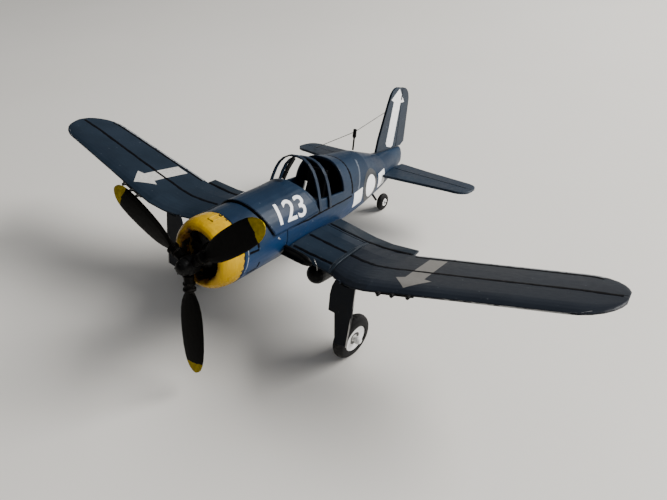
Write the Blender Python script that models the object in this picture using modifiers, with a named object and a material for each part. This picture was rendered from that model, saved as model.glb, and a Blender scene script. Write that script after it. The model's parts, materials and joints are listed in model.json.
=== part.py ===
"""A tinplate display model of a gull-winged naval fighter, standing on its three wheels.

The airframe is drawn in millimetres about the centre of the propeller hub: +X to the pilot's
left, +Y aft along the propeller shaft and +Z up. One empty then tips the whole airframe nose-up
onto its wheels, so that the floor is at world Z = 0 and the model is centred on world X and Y.
"""

import math

import bmesh
import bpy
from mathutils import Matrix, Vector

MM = 0.001
GAP = 0.25              # clearance left between neighbouring sheets
SHEET = 0.6             # thickness of the tinplate
RING_SIDES = 48         # facets round the fuselage

# --- driving dimensions, mm ---------------------------------------------------------------------
HALF_SPAN = 120.0
PROP_RADIUS = 39.9
PROP_PHASE = math.radians(35.4)
GROUND_PITCH = math.radians(15.1)
SHAFT_RADIUS = 0.9
BORE_RADIUS = 1.0

INTAKE_Y = 35.0
INTAKE_DEPTH = 1.35
INTAKE_HEIGHT = 2.2
INTAKE_CENTRE_Z = 0.35
INTAKE_SLOPE = 0.1
GUN_RADIUS = 0.6
GUN_SPOTS = (Vector((56.6, 26.15, 2.35)), Vector((61.0, 26.5, 3.4)), Vector((66.0, 26.9, 4.6)))

MAIN_WHEEL = Vector((40.3, 42.1, -28.5))
MAIN_TYRE_RADIUS = 8.9
MAIN_TYRE_WIDTH = 4.9
MAIN_DISC_RADIUS = 5.4
AXLE_DROOP = math.radians(-4.5)
AXLE_TOE = math.radians(-5.5)
TAIL_WHEEL_Y = 130.4
TAIL_TYRE_RADIUS = 4.4

COWL_FRONT_Y = 14.6
COWL_BACK_Y = 35.8
COCKPIT_FRONT_Y = 50.8
COCKPIT_BACK_Y = 71.8
SILL_Z = 12.6
STICK_RADIUS = 0.55
TAIL_END_Y = 139.0

# y, half width, height of the widest point, rise above it, drop below it, roundness of the top
FUSELAGE_STATIONS = (
    (COWL_FRONT_Y, 12.8, 1.9, 12.8, 12.8, 2.0),
    (36.0, 12.95, 3.7, 12.95, 12.95, 2.0),
    (50.0, 12.95, 4.9, 13.1, 12.95, 2.0),
    (60.0, 12.9, 5.7, 17.0, 12.9, 2.2),
    (72.0, 12.7, 6.5, 17.7, 12.9, 2.5),
    (79.0, 12.4, 6.9, 16.3, 12.6, 2.4),
    (95.0, 11.0, 7.9, 14.8, 11.4, 2.2),
    (115.0, 7.9, 9.3, 8.8, 8.7, 2.0),
    (130.0, 4.7, 10.8, 7.4, 6.0, 2.0),
    (TAIL_END_Y, 2.4, 12.4, 5.9, 3.6, 2.0),
)

# x, nose (y, z), hinge line (y, z), nose thickness
INNER_WING = (
    (9.0, (36.6, -1.4), (64.0, 1.3), 4.2),
    (20.0, (36.8, -2.4), (62.9, 0.4), 4.0),
    (31.2, (36.4, -3.2), (61.8, -0.1), 3.8),
)
OUTER_WING = (
    (33.0, (35.6, -3.1), (61.6, 0.0), 3.6),
    (39.0, (32.3, -2.4), (60.6, 0.3), 3.4),
    (45.0, (29.0, -0.8), (59.8, 1.0), 3.2),
    (51.0, (26.8, 1.4), (59.4, 2.1), 3.0),
    (57.0, (27.0, 3.0), (59.3, 3.6), 2.8),
    (80.0, (28.9, 8.8), (58.8, 9.3), 2.5),
    (107.0, (31.2, 15.3), (58.3, 16.0), 2.3),
)
# x and the share of the chord, from the nose, at which the front and rear sheets meet
SEAM_SHARES = ((9.0, 0.455), (33.0, 0.45), (39.0, 0.473), (45.0, 0.49), (51.0, 0.518), (57.0, 0.52),
               (80.0, 0.508), (HALF_SPAN, 0.5))
SEAM_GAP = 0.008        # half the open seam, as a share of the chord
TIP_CLIMB = math.tan(math.radians(14.0))
TIP_TURNS = (14, 28, 42, 54, 66, 77)
TIP_THICKNESS = 1.2
HINGE_THICKNESS = 1.1
FRONT_POINTS = 9        # points along the chord on each face of a front sheet, then of a rear one
REAR_POINTS = 3

# Outer edges of the two cockpit arches, x and z, from the top centre down to the foot
WINDSHIELD_OUTLINE = ((0.0, 27.4), (3.2, 27.0), (6.0, 25.5), (8.2, 23.3), (9.8, 20.6), (11.3, 16.8),
                      (12.5, 12.8), (13.45, 8.6))
CANOPY_OUTLINE = ((0.0, 25.9), (3.2, 25.6), (5.8, 24.7), (8.0, 23.1), (9.8, 20.9), (11.3, 17.8),
                  (12.5, 14.2), (13.2, 11.4), (13.5, 8.8))
HOOP_CENTRE_Z = 9.0
HOOP_THICKNESS = 0.55
HOOP_WIDTH = 1.5
WINDSHIELD_POST_RADIUS = 0.8

# Distance from the hub, half chord and half thickness of a propeller blade
BLADE_SHANK = ((3.65, 1.75), (6.0, 1.75), (6.1, 2.1), (6.7, 2.1), (6.8, 1.75), (8.0, 1.75), (8.1, 2.2),
               (8.8, 2.2))
BLADE_STATIONS = (
    (9.4, 1.6, 0.9), (11.0, 2.5, 0.75), (13.0, 3.35, 0.65), (16.0, 4.1, 0.6), (20.0, 4.5, 0.55),
    (25.0, 4.65, 0.5), (30.0, 4.55, 0.45), (34.0, 4.15, 0.4), (36.6, 3.5, 0.35), (38.4, 2.6, 0.3),
    (39.4, 1.6, 0.25), (PROP_RADIUS, 0.7, 0.2),
)
BLADE_TWIST = (math.radians(8.0), math.radians(-4.0))
# each blade's own pitch, turn round the hub, reach against the pattern blade, and place along the shaft
BLADE_SETTINGS = (
    (math.radians(4.0), math.radians(2.5), 0.952, 2.4),
    (math.radians(-2.0), math.radians(1.0), 1.013, 2.4),
    (math.radians(7.0), math.radians(-1.5), 1.035, 1.7),
)

COLOURS = {
    "navy": ((0.012, 0.045, 0.095), 0.35, 0.0),
    "slate": ((0.03, 0.045, 0.06), 0.4, 0.0),
    "yellow": ((0.85, 0.56, 0.01), 0.3, 0.0),
    "black": ((0.012, 0.012, 0.013), 0.45, 0.0),
    "steel": ((0.35, 0.35, 0.36), 0.35, 1.0),
    "white": ((0.8, 0.8, 0.78), 0.45, 0.0),
    "tyre": ((0.03, 0.03, 0.03), 0.8, 0.0),
    "dark": ((0.02, 0.022, 0.025), 0.6, 0.3),
}


# --- scene, frames and materials ----------------------------------------------------------------
def clear_scene():
    for old in list(bpy.data.objects):
        bpy.data.objects.remove(old, do_unlink=True)


def new_collection(name):
    collection = bpy.data.collections.new(name)
    bpy.context.scene.collection.children.link(collection)
    return collection


def make_material(name):
    colour, roughness, metallic = COLOURS[name]
    material = bpy.data.materials.new(name)
    material.use_nodes = True
    shader = material.node_tree.nodes["Principled BSDF"]
    shader.inputs["Base Color"].default_value = (*colour, 1.0)
    shader.inputs["Roughness"].default_value = roughness
    shader.inputs["Metallic"].default_value = metallic
    return material


def new_empty(name, location=(0.0, 0.0, 0.0), rotation=None, parent=None):
    empty = bpy.data.objects.new(name, None)
    PARTS.objects.link(empty)
    empty.parent = parent
    empty.location = Vector(location) * MM
    if rotation:
        empty.rotation_mode = "QUATERNION"
        empty.rotation_quaternion = rotation
    return empty


def add_part(name, data, colour, parent=None, location=(0.0, 0.0, 0.0)):
    part = bpy.data.objects.new(name, data)
    data.materials.append(MATERIALS[colour])
    PARTS.objects.link(part)
    part.parent = parent or AIRFRAME
    part.location = Vector(location) * MM
    return part


def hide_as_cutter(cutter):
    CUTTERS.objects.link(cutter)
    cutter.parent = AIRFRAME
    cutter.hide_render = True
    cutter.display_type = "WIRE"
    return cutter


# --- shape makers, all sizes in mm --------------------------------------------------------------
def mesh_from(bm, name):
    bmesh.ops.recalc_face_normals(bm, faces=bm.faces)
    mesh = bpy.data.meshes.new(name)
    bm.to_mesh(mesh)
    bm.free()
    return mesh


def loft(name, rings, closed_ends=True):
    """Skins a row of rings that all have the same number of points."""
    bm = bmesh.new()
    rows = [[bm.verts.new(Vector(point) * MM) for point in ring] for ring in rings]
    count = len(rows[0])
    for near, far in zip(rows, rows[1:]):
        for i in range(count):
            j = (i + 1) % count
            bm.faces.new((near[i], near[j], far[j], far[i]))
    if closed_ends:
        bm.faces.new(rows[0])
        bm.faces.new(rows[-1])
    return mesh_from(bm, name)


def box_mesh(name, low, high):
    bm = bmesh.new()
    bmesh.ops.create_cube(bm, size=1.0)
    low, high = Vector(low), Vector(high)
    bmesh.ops.scale(bm, vec=(high - low) * MM, verts=bm.verts)
    bmesh.ops.translate(bm, vec=(low + high) * 0.5 * MM, verts=bm.verts)
    return mesh_from(bm, name)


def smooth(part, degrees=35.0):
    part.data.shade_smooth()
    part.data.set_sharp_from_angle(angle=math.radians(degrees))


def turned(name, profile, colour, axis="Y", steps=24, **place):
    """Turns a profile of (radius, height) points, listed down its outer side, about an axis."""
    mesh = bpy.data.meshes.new(name)
    spots = [Vector((radius, 0.0, height)) * MM for radius, height in profile]
    open_ends = profile[0][0] == 0.0 and profile[-1][0] == 0.0
    edges = [(i, i + 1) for i in range(len(spots) - 1)]
    if not open_ends:
        edges.append((len(spots) - 1, 0))
    mesh.from_pydata(spots, edges, [])
    lay_down = {"Z": Matrix(), "Y": Matrix.Rotation(math.radians(90), 4, "X"),
                "X": Matrix.Rotation(math.radians(90), 4, "Y")}[axis]
    part = add_part(name, mesh, colour, **place)
    screw = part.modifiers.new("Screw", "SCREW")
    screw.steps = steps
    screw.render_steps = steps
    screw.use_merge_vertices = True
    screw.merge_threshold = 0.00001
    screw.use_smooth_shade = True
    part.rotation_euler = lay_down.to_euler()
    return part


def flat_plate(name, outline, thickness, colour, plane="side", offset=0.0, holes=(), **place):
    """A flat outline with thickness: plane side is (y, z), plan is (x, y), front is (x, z)."""
    curve = bpy.data.curves.new(name, "CURVE")
    curve.dimensions = "2D"
    curve.fill_mode = "BOTH"
    curve.extrude = thickness * 0.5 * MM
    for loop in (outline, *holes):
        spline = curve.splines.new("POLY")
        spline.points.add(len(loop) - 1)
        for point, (u, v) in zip(spline.points, loop):
            point.co = (u * MM, v * MM, 0.0, 1.0)
        spline.use_cyclic_u = True
    part = add_part(name, curve, colour, **place)
    turns = {"plan": Matrix(), "front": Matrix.Rotation(math.radians(90), 4, "X"),
             "side": Matrix.Rotation(math.radians(90), 4, "Z") @ Matrix.Rotation(math.radians(90), 4, "X")}
    shift = {"plan": (0, 0, offset), "front": (0, offset, 0), "side": (offset, 0, 0)}[plane]
    part.rotation_euler = turns[plane].to_euler()
    part.location += Vector(shift) * MM
    return part


def wire(name, points, radius, colour, resolution=2, **place):
    curve = bpy.data.curves.new(name, "CURVE")
    curve.dimensions = "3D"
    curve.bevel_depth = radius * MM
    curve.bevel_resolution = resolution
    curve.use_fill_caps = True
    spline = curve.splines.new("POLY")
    spline.points.add(len(points) - 1)
    for point, spot in zip(spline.points, points):
        point.co = (*(Vector(spot) * MM), 1.0)
    return add_part(name, curve, colour, **place)


def cut(part, cutter, operation="DIFFERENCE"):
    modifier = part.modifiers.new("Cut", "BOOLEAN")
    modifier.operation = operation
    modifier.object = cutter
    modifier.solver = "EXACT"


def curve_to_mesh(part):
    """Replaces a curve part by the mesh it makes, so that it can be cut."""
    graph = bpy.context.evaluated_depsgraph_get()
    mesh = bpy.data.meshes.new_from_object(part.evaluated_get(graph))
    bm = bmesh.new()
    bm.from_mesh(mesh)
    bmesh.ops.remove_doubles(bm, verts=bm.verts, dist=0.00001)
    bm.to_mesh(mesh)
    bm.free()
    name, colour, matrix = part.name, part.data.materials[0].name, part.matrix_basis.copy()
    parent = part.parent
    bpy.data.objects.remove(part, do_unlink=True)
    mesh.materials.clear()
    solid = add_part(name, mesh, colour, parent=parent)
    solid.matrix_basis = matrix
    return solid


def arc(centre, radius, start, end, steps):
    angles = [start + (end - start) * i / steps for i in range(steps + 1)]
    return [(centre[0] + radius * math.cos(a), centre[1] + radius * math.sin(a)) for a in angles]


def blend_rows(rows, at):
    """Reads a table of stations, sorted by its first column, at a value between them."""
    for low, high in zip(rows, rows[1:]):
        if at <= high[0]:
            break
    share = (at - low[0]) / (high[0] - low[0])
    return [a + (b - a) * share for a, b in zip(low, high)]


def mirrored(points, side):
    return [(x * side, y, z) for x, y, z in points]


SIDES = (("left", 1), ("right", -1))


# --- fuselage -----------------------------------------------------------------------------------
def fuselage_point(y, angle, grow=0.0):
    """A point on the fuselage skin: angle 0 is the left side, 90 degrees is the top."""
    _, half_width, middle, rise, drop, roundness = blend_rows(FUSELAGE_STATIONS, y)
    power = 2.0 / roundness if math.sin(angle) > 0 else 1.0
    height = (rise if math.sin(angle) > 0 else drop) + grow
    across = math.copysign(abs(math.cos(angle)) ** power, math.cos(angle))
    up = math.copysign(abs(math.sin(angle)) ** power, math.sin(angle))
    return ((half_width + grow) * across, y, middle + height * up)


def fuselage_ring(y, grow=0.0, sides=RING_SIDES):
    return [fuselage_point(y, 2 * math.pi * i / sides, grow) for i in range(sides)]


def tube_shell(name, stations, colour, wall=1.0, closed_back=False):
    mesh = loft(name, [fuselage_ring(y) for y in stations], closed_ends=False)
    part = add_part(name, mesh, colour)
    if closed_back:
        bm = bmesh.new()
        bm.from_mesh(mesh)
        bmesh.ops.holes_fill(bm, edges=[e for e in bm.edges if e.is_boundary
                                        and e.verts[0].co.y > (TAIL_END_Y - 1.0) * MM])
        bmesh.ops.recalc_face_normals(bm, faces=bm.faces)
        bm.to_mesh(mesh)
        bm.free()
    solid = part.modifiers.new("Wall", "SOLIDIFY")
    solid.thickness = wall * MM
    solid.offset = -1.0
    smooth(part)
    return part


def build_fuselage():
    stations = (36.1, 43.0, 50.0, 55.0, 60.0, 66.0, 72.0, 79.0, 87.0, 95.0, 105.0, 115.0, 130.0,
                TAIL_END_Y)
    shell = tube_shell("fuselage_shell", stations, "navy", closed_back=True)
    side = [(COCKPIT_FRONT_Y, 30.0), (COCKPIT_FRONT_Y, 18.0), (COCKPIT_FRONT_Y + 3.4, SILL_Z),
            (COCKPIT_BACK_Y, SILL_Z), (COCKPIT_BACK_Y, 30.0)]
    rings = [[(x, y, z) for y, z in side] for x in (-20.0, 20.0)]
    opening = hide_as_cutter(bpy.data.objects.new("cockpit_cutter", loft("cockpit_cutter", rings)))
    cut(shell, opening)
    tube_shell("cowling", (COWL_FRONT_Y, 25.0, COWL_BACK_Y), "navy")


def fuselage_clearance():
    """The fuselage skin grown by the clearance: what the wing and tail roots are cut back by."""
    stations = (30.0, 36.0, 50.0, 60.0, 72.0, 95.0, 115.0, 130.0, TAIL_END_Y)
    mesh = loft("fuselage_clearance", [fuselage_ring(y, GAP + 0.1) for y in stations])
    return hide_as_cutter(bpy.data.objects.new("fuselage_clearance", mesh))


def curved_sheet(name, stations, start, end, colour, steps=16, lift=GAP, thickness=SHEET):
    """A sheet wrapped on the fuselage: stations give its y at its middle and at its lower edges."""
    rings = []
    for y_top, y_edge in stations:
        outer, inner = [], []
        for i in range(steps + 1):
            share = i / steps
            angle = start + (end - start) * share
            edge = abs(2 * share - 1) ** 2
            y = y_top + (y_edge - y_top) * edge
            outer.append(fuselage_point(y, angle, lift + thickness))
            inner.append(fuselage_point(y, angle, lift))
        rings.append(outer + inner[::-1])
    part = add_part(name, loft(name, rings), colour)
    smooth(part)
    return part


def build_top_panel():
    rows = ((24.6, 29.0), (32.0, 35.0), (41.0, 44.0), (49.9, 54.0))
    curved_sheet("top_panel", rows, math.radians(14), math.radians(166), "navy")


def build_cowl_ring():
    """The nose ring: a rolled lip round the opening, swelling back to a short cylinder."""
    inside = [(8.1, -9.5), (8.25, -7.3), (8.8, -6.1)]
    lip_radius, lip_y = 9.5, 5.5
    swell = []
    for degrees in range(0, 91, 15):
        angle = math.radians(degrees)
        swell.append((lip_radius + 3.25 * math.sin(angle), -lip_y - 6.8 * (1.0 - math.cos(angle))))
    skirt_end = GAP - COWL_FRONT_Y
    skirt = [(12.8, skirt_end), (11.95, skirt_end), (11.9, -12.4), (9.4, -10.4)]
    turned("cowl_ring", inside + swell + skirt, "yellow", steps=48, location=(0.0, 0.0, 1.95))


# --- engine and propeller -----------------------------------------------------------------------
def build_engine():
    shaft = [(0.0, -2.0), (SHAFT_RADIUS, -2.0), (SHAFT_RADIUS, -7.4), (0.0, -7.4)]
    turned("propeller_shaft", shaft, "steel", steps=24)
    case = [(0.0, -7.7), (2.0, -7.7), (3.4, -9.0), (4.4, -10.5), (4.4, -15.2), (0.0, -15.2)]
    turned("engine_crankcase", case, "dark", steps=18)
    turned("firewall", [(0.0, -15.5), (11.6, -15.5), (11.6, -16.3), (0.0, -16.3)], "black",
           steps=28, location=(0.0, 0.0, 1.9))
    build_cylinders()


def build_cylinders(count=9, root=5.6, tip=9.5, half_width=1.45):
    outline = []
    for i in range(count):
        angle = math.pi / 2 + 2 * math.pi * i / count
        along = Vector((math.cos(angle), math.sin(angle)))
        across = Vector((-along.y, along.x))
        for reach, shift in ((root, -half_width), (tip, -half_width), (tip, half_width), (root, half_width)):
            spot = along * reach + across * shift
            outline.append((spot.x, spot.y))
    hole = arc((0.0, 0.0), 4.75, 0.0, 2 * math.pi * 17 / 18, 17)
    flat_plate("engine_cylinders", outline, 3.0, "dark", "front", offset=13.6, holes=(hole,))


def blade_ring(radius, half_chord, pitch, half_thickness, points=12):
    """One blade section; its leading edge lies ahead of the edge that follows it round."""
    ring = []
    for i in range(points):
        angle = 2 * math.pi * i / points
        across, thick = half_chord * math.cos(angle), half_thickness * math.sin(angle)
        x = -across * math.cos(pitch) + thick * math.sin(pitch)
        y = across * math.sin(pitch) + thick * math.cos(pitch)
        ring.append((x, y, radius))
    return ring


def blade_rows(setting, reach):
    rows = [(radius, size, 0.0, size) for radius, size in BLADE_SHANK]
    first, last = BLADE_STATIONS[0][0], BLADE_STATIONS[-1][0]
    for radius, half_chord, half_thickness in BLADE_STATIONS:
        share = (radius - first) / (last - first)
        pitch = setting + BLADE_TWIST[0] + (BLADE_TWIST[1] - BLADE_TWIST[0]) * share
        rows.append((first + (radius - first) * reach, half_chord, pitch, half_thickness))
    return rows


def build_propeller():
    axis = new_empty("propeller_axis", (0.0, 0.0, 0.0), parent=AIRFRAME)
    dome = arc((0.0, 0.0), 2.8, math.pi / 2, -0.1, 5)
    body = [(2.8, -0.6), (3.3, -0.8), (3.3, -4.0), (2.2, -6.6)]
    bore = [(BORE_RADIUS, -6.6), (BORE_RADIUS, -1.7), (0.0, -1.7)]
    turned("propeller_hub", [(0.0, 2.8)] + dome[1:] + body + bore, "black", steps=28, parent=axis)
    for i, (setting, turn, reach, root_y) in enumerate(BLADE_SETTINGS):
        mesh = loft(f"blade_{i + 1}", [blade_ring(*row) for row in blade_rows(setting, reach)])
        blade = add_part(f"blade_{i + 1}", mesh, "black", parent=axis, location=(0.0, root_y, 0.0))
        blade.rotation_euler = (0.0, math.pi / 2 - PROP_PHASE - turn - i * 2 * math.pi / 3, 0.0)
        smooth(blade, 50)


# --- cockpit ------------------------------------------------------------------------------------
def build_cockpit():
    tub = box_mesh("cockpit_floor", (-8.6, 50.0, -0.8), (8.6, 73.0, 0.4))
    add_part("cockpit_floor", tub, "black")
    seat_side = [(68.0, 0.8), (68.0, 6.6), (62.8, 6.9), (62.8, 7.9), (68.4, 8.0), (69.8, 19.6), (71.2, 19.6),
                 (70.2, 6.6), (70.2, 0.8)]
    flat_plate("pilot_seat", seat_side, 9.0, "black")
    panel = arc((0.0, 5.0), 11.4, math.radians(10), math.radians(170), 10)
    flat_plate("instrument_panel", panel, 1.0, "black", "front", offset=49.9)
    stick = [(0.0, 59.6, 0.8), (0.0, 60.2, 8.0), (0.0, 62.4, 15.8)]
    wire("control_stick", stick, STICK_RADIUS, "steel")


def build_canopy():
    build_hoop("windshield_hoop", 55.3, WINDSHIELD_OUTLINE)
    build_hoop("canopy_hoop", 61.4, CANOPY_OUTLINE)
    post = [(0.0, 48.0, 19.7), (0.0, 50.4, 23.4), (0.0, 53.6, 26.6)]
    wire("windshield_post", post, WINDSHIELD_POST_RADIUS, "black")


def build_hoop(name, y, half_outline):
    """A strip bent to an arch; its outline runs from the top centre down to the left foot."""
    outer = [(-x, z) for x, z in reversed(half_outline[1:])] + list(half_outline)
    middle = Vector((0.0, HOOP_CENTRE_Z))
    inner = []
    for spot in outer:
        inward = middle - Vector(spot)
        inner.append(Vector(spot) + inward.normalized() * HOOP_THICKNESS)
    section = list(outer) + inner[::-1]
    rings = [[(x, y + offset, z) for x, z in section] for offset in (-HOOP_WIDTH / 2, HOOP_WIDTH / 2)]
    part = add_part(name, loft(name, rings), "navy")
    smooth(part)


# --- wings --------------------------------------------------------------------------------------
def wing_section(row, start, end, points=7):
    """A closed wing section between two fractions of the chord, from nose (0) to hinge (1)."""
    x, (nose_y, nose_z), (hinge_y, hinge_z), thick = row
    upper, lower = [], []
    for i in range(points):
        share = start + (end - start) * i / (points - 1)
        y = nose_y + (hinge_y - nose_y) * share
        centre = nose_z + (hinge_z - nose_z) * min(1.0, share * 1.6)
        centre -= HINGE_THICKNESS / 2
        if share < 0.2:
            half = thick / 2 * math.sqrt(max(0.0, 1.0 - ((0.2 - share) / 0.2) ** 2))
        else:
            half = thick / 2 + (HINGE_THICKNESS - thick) / 2 * (share - 0.2) / 0.8
        half = max(half, 0.25)
        upper.append((x, y, centre + half))
        lower.append((x, y, centre - half))
    return upper + lower[::-1]


def outer_rows():
    """The outer wing's stations, with a round tip past the last straight one."""
    rows = list(OUTER_WING)
    x0, (nose_y, nose_z), (hinge_y, hinge_z), thick = rows[-1]
    middle, half = (nose_y + hinge_y) / 2, (hinge_y - nose_y) / 2
    for degrees in TIP_TURNS:
        angle = math.radians(degrees)
        x = x0 + (HALF_SPAN - x0) * math.sin(angle)
        reach = half * math.cos(angle)
        rise = (x - x0) * TIP_CLIMB
        slim = thick + (TIP_THICKNESS - thick) * math.sin(angle)
        rows.append((x, (middle - reach, nose_z + rise + 0.6 * (1 - math.cos(angle))),
                     (middle + reach, hinge_z + rise), slim))
    return rows


def wing_share(row, front):
    """The fractions of the chord between which the front or the rear sheet lies at a station."""
    seam = blend_rows(SEAM_SHARES, row[0])[1]
    return (0.0, seam - SEAM_GAP) if front else (seam + SEAM_GAP, 1.0)


def wing_panel(name, rows, front, side, colour, root_cut=None):
    points = FRONT_POINTS if front else REAR_POINTS
    rings = [mirrored(wing_section(row, *wing_share(row, front), points), side) for row in rows]
    part = add_part(name, loft(name, rings), colour)
    if root_cut:
        cut(part, root_cut)
    smooth(part)
    return part


def build_wings(root_cut):
    for word, side in SIDES:
        wing_panel(f"wing_inner_front_{word}", INNER_WING, True, side, "slate", root_cut)
        wing_panel(f"wing_inner_rear_{word}", INNER_WING, False, side, "slate", root_cut)
        wing_panel(f"wing_outer_front_{word}", outer_rows(), True, side, "slate")
        wing_panel(f"wing_outer_rear_{word}", outer_rows(), False, side, "slate")
        build_fold_strip(word, side)
        build_flap(word, side, root_cut)
        build_intake(word, side, root_cut)
        build_guns(word, side)


def build_fold_strip(word, side):
    """The raised strip over the joint where the real wing folds."""
    inner, outer = INNER_WING[-1], OUTER_WING[0]
    low_x, high_x = inner[0] + GAP, outer[0] - GAP
    middle = [(a + b) / 2 for a, b in zip(wing_flat(inner), wing_flat(outer))]
    rings = []
    for x in (low_x, high_x):
        row = (x, (middle[1], middle[2]), (middle[3], middle[4]), middle[5] + 0.9)
        rings.append(mirrored(wing_section(row, 0.0, 1.0, 9), side))
    part = add_part(f"wing_fold_strip_{word}", loft(f"wing_fold_strip_{word}", rings), "slate")
    smooth(part)


def wing_flat(row):
    x, nose, hinge, thick = row
    return (x, *nose, *hinge, thick)


def build_flap(word, side, root_cut):
    rows = ((9.0, 64.4, 1.2, 73.6, 0.4), (31.0, 62.2, -0.2, 69.0, -0.4), (40.0, 61.0, 0.4, 66.4, 0.5),
            (51.6, 59.8, 2.1, 64.0, 2.6))
    rings = []
    for x, near_y, near_z, far_y, far_z in rows:
        ring = [(x, near_y, near_z + 0.1), (x, far_y, far_z), (x, far_y, far_z - 0.7), (x, near_y, near_z - 1.0)]
        rings.append(mirrored(ring, side))
    part = add_part(f"flap_{word}", loft(f"flap_{word}", rings), "slate")
    cut(part, root_cut)


def intake_ring(x, scale, shift_y):
    """A section of the intake tube, which follows the leading edge down towards its outer end."""
    centre_z = INTAKE_CENTRE_Z - INTAKE_SLOPE * x
    ring = []
    for i in range(16):
        angle = 2 * math.pi * i / 16
        ring.append((x, INTAKE_Y + shift_y + INTAKE_DEPTH * scale * math.cos(angle),
                     centre_z + INTAKE_HEIGHT * scale * math.sin(angle)))
    return ring


def build_intake(word, side, root_cut):
    """The oil-cooler intake: a tube along the leading edge with a long mouth in its front."""
    outside = ((9.0, 1.0), (18.0, 1.0), (21.5, 0.93), (23.6, 0.72), (24.9, 0.35))
    mouth = ((6.0, 0.7), (19.0, 0.7), (21.8, 0.5), (22.6, 0.25))
    rings = [mirrored(intake_ring(x, scale, 0.0), side) for x, scale in outside]
    part = add_part(f"wing_intake_{word}", loft(f"wing_intake_{word}", rings), "black")
    rings = [mirrored(intake_ring(x, scale, -INTAKE_DEPTH * 0.75), side) for x, scale in mouth]
    name = f"intake_mouth_{word}"
    cut(part, hide_as_cutter(bpy.data.objects.new(name, loft(name, rings))))
    cut(part, root_cut)
    smooth(part)


def build_guns(word, side):
    """Three gun muzzles on one strip that lies along the outer wing's nose."""
    name = f"gun_bar_{word}"
    first, last = GUN_SPOTS[0] + Vector((-1.4, 0.0, -0.35)), GUN_SPOTS[-1] + Vector((1.4, 0.1, 0.35))
    rings = []
    for spot in (first, last):
        ring = [(spot.x, spot.y + dy, spot.z + dz) for dy, dz in ((0.2, -0.3), (0.6, -0.3), (0.6, 0.3), (0.2, 0.3))]
        rings.append(mirrored(ring, side))
    part = add_part(name, loft(name, rings), "black")
    for i, spot in enumerate(GUN_SPOTS):
        rings = []
        for y in (spot.y - 0.9, spot.y + 0.5):
            ring = [(x, y, z) for x, z in arc((spot.x, spot.z), GUN_RADIUS, 0.0, 2 * math.pi * 11 / 12, 11)]
            rings.append(mirrored(ring, side))
        barrel = bpy.data.objects.new(f"muzzle_{word}_{i + 1}", loft(f"muzzle_{word}_{i + 1}", rings))
        cut(part, hide_as_cutter(barrel), "UNION")


# --- tail ---------------------------------------------------------------------------------------
def build_tail(root_cut):
    fin = [(116.0, 18.6), (117.0, 24.5), (121.8, 39.7)]
    fin += arc((129.2, 41.2), 6.4, math.radians(165), math.radians(90), 5)
    fin += [(133.6, 47.2), (134.6, 18.75)]
    flat_plate("fin", fin, 1.1, "navy")
    rudder = [(135.0, 18.75), (134.0, 47.15)]
    rudder += arc((134.6, 40.2), 7.0, math.radians(88), math.radians(5), 6)
    rudder += [(142.7, 20.6), (140.2, 19.2), (140.0, 18.75)]
    flat_plate("rudder", rudder, 1.1, "navy")
    for word, side in SIDES:
        stab = [(0.0, 108.8), (9.0, 109.8), (39.0, 115.0)]
        stab += arc((40.6, 121.2), 6.2, math.radians(-78), math.radians(-10), 4)
        stab += [(46.9, 123.4), (0.0, 124.6)]
        tail_plane(f"stabilizer_{word}", stab, side, root_cut)
        elevator = [(5.4, 124.8), (46.9, 123.8)]
        elevator += arc((41.4, 126.4), 5.4, math.radians(-8), math.radians(78), 4)
        elevator += [(20.0, 133.2), (7.0, 134.9), (5.4, 134.9)]
        tail_plane(f"elevator_{word}", elevator, side, root_cut)


def tail_plane(name, outline, side, root_cut):
    outline = [(x * side, y) for x, y in outline]
    part = curve_to_mesh(flat_plate(name, outline, 1.1, "navy", "plan", offset=10.6))
    cut(part, root_cut)


def build_antenna():
    profile = [(0.0, 32.4), (0.75, 32.2), (0.85, 29.0), (0.4, 28.2), (0.4, 23.1), (0.0, 23.1)]
    turned("antenna_mast", profile, "black", axis="Z", steps=10, location=(0.0, 95.4, 0.0))
    fin_end = (0.0, 120.75, 37.0)
    tail_end = (-38.0, 121.0, 11.5)
    wire("antenna_wire_fin", [(0.0, 96.5, 31.3), fin_end], 0.16, "dark", resolution=1)
    wire("antenna_wire_tail", [(-0.9, 96.2, 30.6), tail_end], 0.16, "dark", resolution=1)


# --- undercarriage ------------------------------------------------------------------------------
def axle_turn(side):
    """The rotation that takes +Z to the outward direction of a main axle."""
    out = Vector((math.cos(AXLE_DROOP) * math.cos(AXLE_TOE) * side, math.sin(AXLE_TOE), math.sin(AXLE_DROOP)))
    return out.to_track_quat("Z", "Y")


def ring_of(outer, half_width, bore):
    return [(bore, half_width), (outer, half_width), (outer, -half_width), (bore, -half_width)]


def tyre_profile(radius, half_width, bore):
    """A rounded tread on flat side walls."""
    shoulder = min(half_width, radius - bore - 0.6)
    tread = arc((radius - shoulder, 0.0), shoulder, math.radians(90), math.radians(-90), 8)
    stretch = half_width / shoulder
    return [(bore, half_width)] + [(r, z * stretch) for r, z in tread] + [(bore, -half_width)]


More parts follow.
